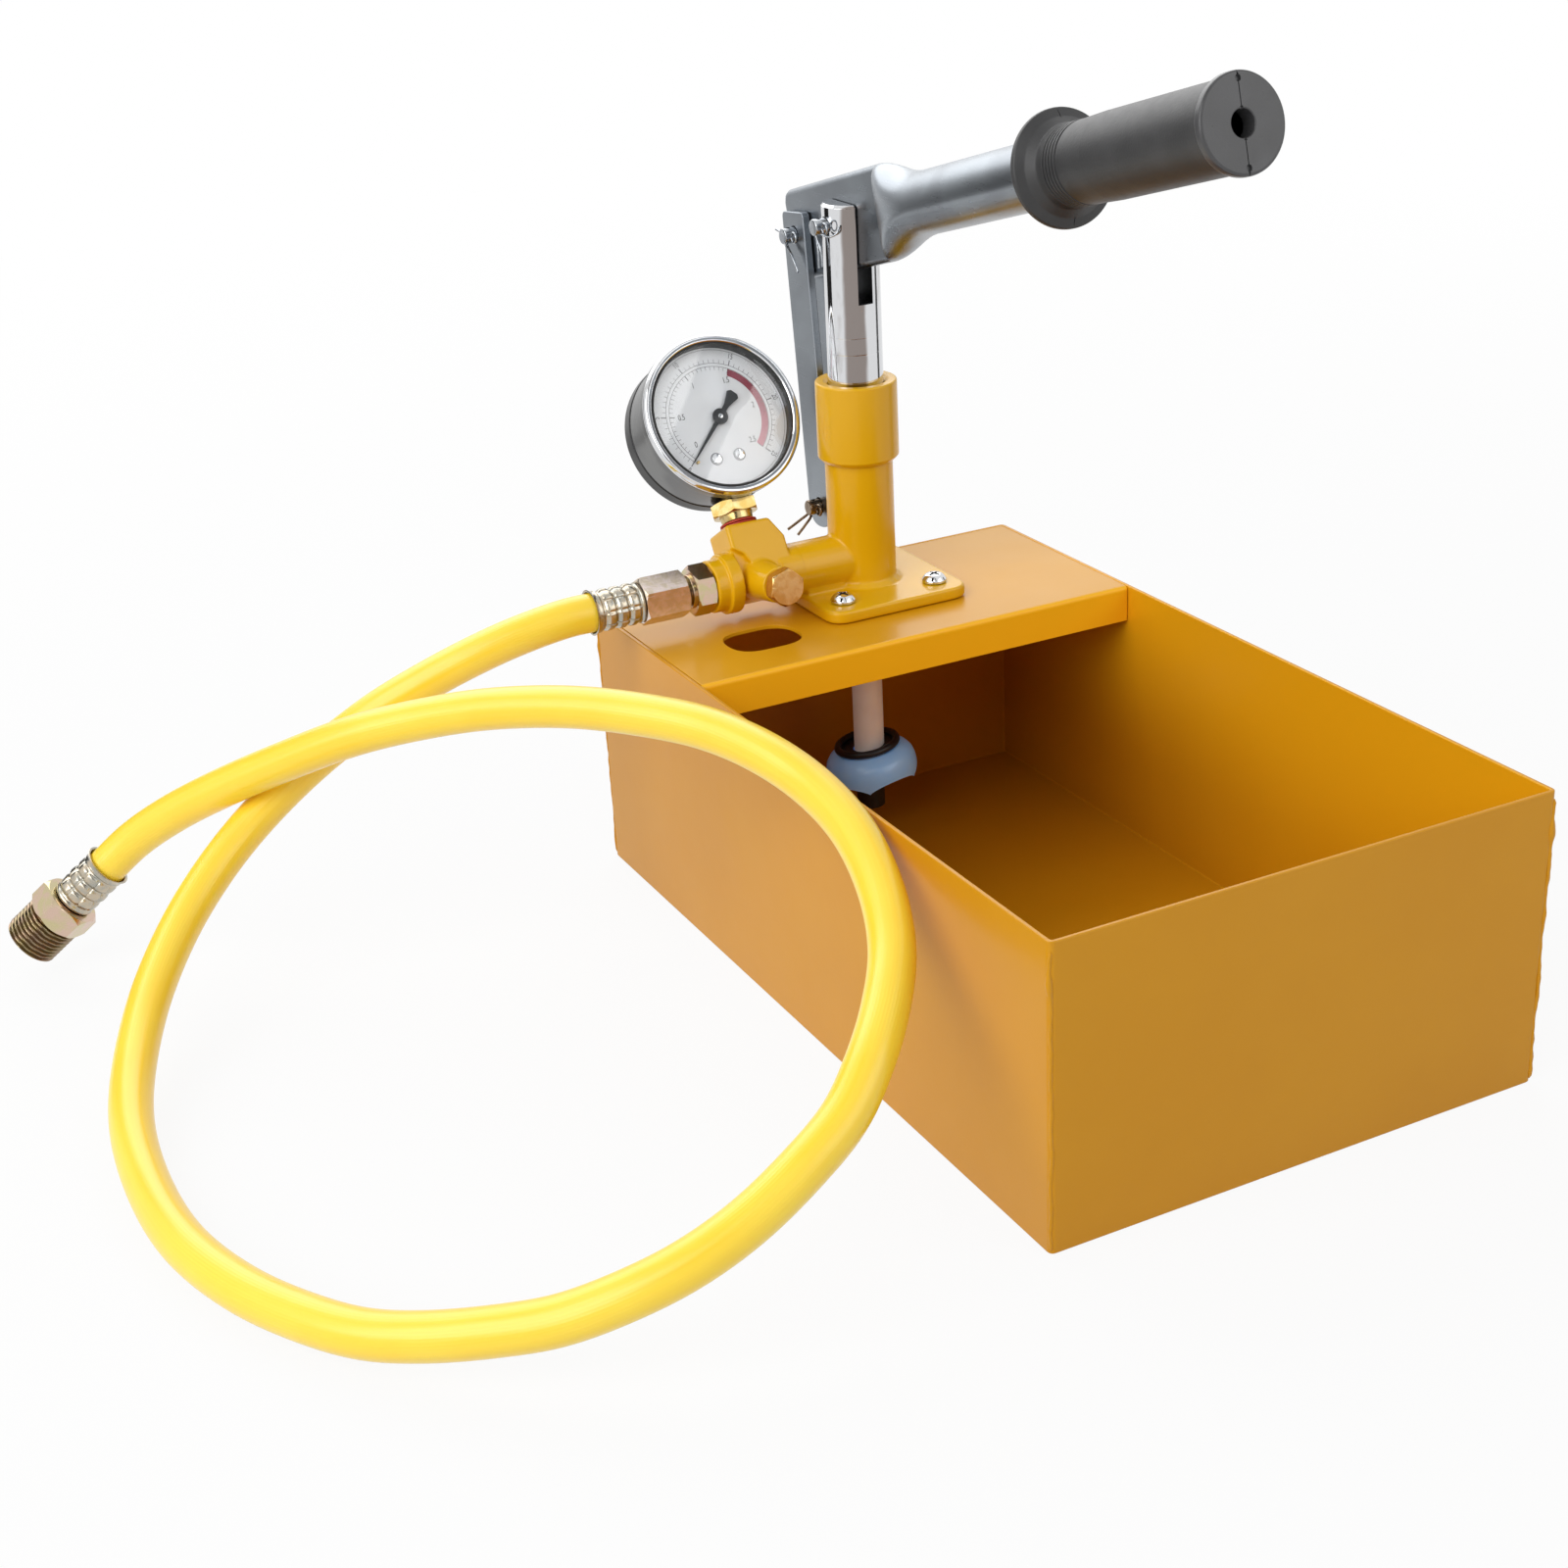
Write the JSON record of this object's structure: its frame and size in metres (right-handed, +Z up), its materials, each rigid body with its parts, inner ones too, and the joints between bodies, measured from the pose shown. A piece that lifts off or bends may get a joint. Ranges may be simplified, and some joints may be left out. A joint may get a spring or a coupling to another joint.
{
  "type": "hydrostatic test pump",
  "caption": "Hand-operated pressure test pump: an open sheet-metal water tank, a lever-driven plunger pump on its shelf, a dial gauge, a relief plug and an outlet hose.",
  "frame": {"origin": "centre of the tank's bottom face, on the floor", "axes": "+Z up, -Y towards the end that the handle points to, -X towards the outlet and the hose"},
  "size_m": [0.4176, 0.3587, 0.3217],
  "materials": {
    "tank_paint": "gloss ochre enamel",
    "pump_paint": "gloss yellow enamel",
    "chrome": "polished",
    "zinc": "bright zinc",
    "yellow_zinc": "yellow passivated zinc",
    "brass": "machined",
    "fibre": "red fibre",
    "black_rubber": "matt",
    "grip_rubber": "satin",
    "satin_steel": "satin",
    "dial_face": "silver white print",
    "glass": "clear",
    "black_paint": "satin black",
    "hose_rubber": "gloss yellow",
    "tube_plastic": "off white",
    "strainer_plastic": "grey blue",
    "steel": "polished ball"
  },
  "bodies": {
    "pump": {"tank_body": "tank_paint", "tank_shelf": "pump_paint", "pump_body": "pump_paint", "gland_cap": "pump_paint", "gauge_tee": "pump_paint", "base_screw_1": "chrome", "base_screw_2": "chrome", "base_screw_3": "chrome", "base_screw_4": "chrome", "gauge_bezel": "chrome", "dial_screw_1": "chrome", "dial_screw_2": "chrome", "dial_stop_pin": "chrome", "base_nut_1": "zinc", "base_nut_2": "zinc", "base_nut_3": "zinc", "base_nut_4": "zinc", "lower_link_pin": "zinc", "lower_cotter": "zinc", "outlet_nipple": "yellow_zinc", "pump_ferrule": "yellow_zinc", "far_ferrule": "yellow_zinc", "far_end_fitting": "yellow_zinc", "guide_bush": "brass", "gauge_stem": "brass", "gauge_movement": "brass", "bourdon_tube": "brass", "relief_washer": "fibre", "gauge_washer_lower": "fibre", "gauge_washer_upper": "fibre", "gland_packing": "black_rubber", "strainer_ring": "black_rubber", "suction_foot": "black_rubber", "gauge_case": "satin_steel", "gauge_dial": "dial_face", "gauge_window": "glass", "gauge_rear_band": "black_paint", "hose": "hose_rubber", "suction_tube": "tube_plastic", "strainer_cup": "strainer_plastic"},
    "links": {"link_strap_left": "zinc", "link_strap_right": "zinc", "upper_link_pin": "zinc", "upper_cotter": "zinc"},
    "lever": {"handle_lever": "zinc", "handle_grip": "grip_rubber"},
    "plunger": {"plunger": "chrome", "plunger_pin": "zinc", "plunger_cotter": "zinc"},
    "pointer": {"gauge_pointer": "black_paint"},
    "relief_plug": {"relief_plug": "yellow_zinc"},
    "hose_nut": {"hose_nut": "yellow_zinc"},
    "suction_ball": {"suction_ball": "steel"},
    "outlet_ball": {"outlet_ball": "steel"}
  },
  "joints": [
    {"name": "link_swing", "type": "hinge", "parent": "pump", "child": "links", "pos_m": [0.0055, 0.146, 0.133], "axis": [-1, 0, 0], "range_deg": [-0.5, 0.2]},
    {"name": "lever_swing", "type": "hinge", "parent": "links", "child": "lever", "pos_m": [0.0055, 0.15681, 0.23694], "axis": [-1, 0, 0], "range_deg": [-45, 12]},
    {"name": "plunger_slide", "type": "slide", "parent": "pump", "child": "plunger", "axis": [0, 0, 1], "range_m": [-0.0276, 0.0075]},
    {"name": "pointer_turn", "type": "hinge", "parent": "pump", "child": "pointer", "pos_m": [-0.0414, 0.15431, 0.17042], "axis": [0, 0.8572, -0.515], "range_deg": [0, 270]},
    {"name": "relief_plug_turn", "type": "hinge", "parent": "pump", "child": "relief_plug", "pos_m": [-0.0414, 0.123, 0.1183], "axis": [0, -0.989, 0.1478], "range_deg": [0, 360]},
    {"name": "hose_nut_turn", "type": "hinge", "parent": "pump", "child": "hose_nut", "pos_m": [-0.0803, 0.123, 0.1183], "axis": [-1, 0, 0], "continuous": true},
    {"name": "suction_ball_lift", "type": "slide", "parent": "pump", "child": "suction_ball", "axis": [0, 0, 1], "range_m": [0, 0.0015]},
    {"name": "outlet_ball_lift", "type": "slide", "parent": "pump", "child": "outlet_ball", "axis": [-1, 0, 0], "range_m": [0, 0.003]}
  ],
  "couplings": [
    {"joint": "link_swing", "follows": "lever_swing", "ratio": 0.0104},
    {"joint": "plunger_slide", "follows": "lever_swing", "m_per_rad": 0.03493}
  ]
}
